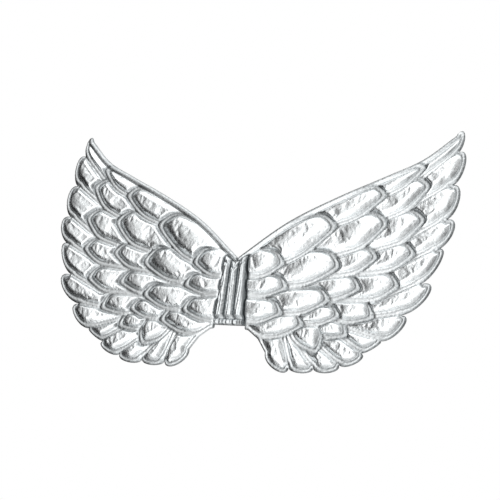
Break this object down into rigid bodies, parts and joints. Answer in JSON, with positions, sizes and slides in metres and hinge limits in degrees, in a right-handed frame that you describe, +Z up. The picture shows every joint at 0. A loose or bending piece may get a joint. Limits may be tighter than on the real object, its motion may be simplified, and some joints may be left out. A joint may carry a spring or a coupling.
{
  "type": "costume wings",
  "caption": "Child's padded costume wings in silver metallic cloth, pressed into overlapping feathers, with a ribbed centre band and elastic arm loops, worn on the back.",
  "frame": {"origin": "middle of the centre band's flat back face, where it lies on the wearer's back between the shoulder blades", "axes": "+Z up, +X towards the wearer's right, +Y from the feathered face towards the wearer"},
  "size_m": [0.4582, 0.12, 0.2388],
  "materials": {
    "silver_cloth": "metallic silver cloth over foam, crinkled, soft mirror-like sheen",
    "silver_band": "the same silver cloth gathered into upright ribs",
    "white_elastic": "matt white knitted elastic"
  },
  "bodies": {
    "root": {"right_wing": "silver_cloth", "left_wing": "silver_cloth", "centre_band": "silver_band", "right_strap": "white_elastic", "left_strap": "white_elastic"}
  },
  "joints": []
}
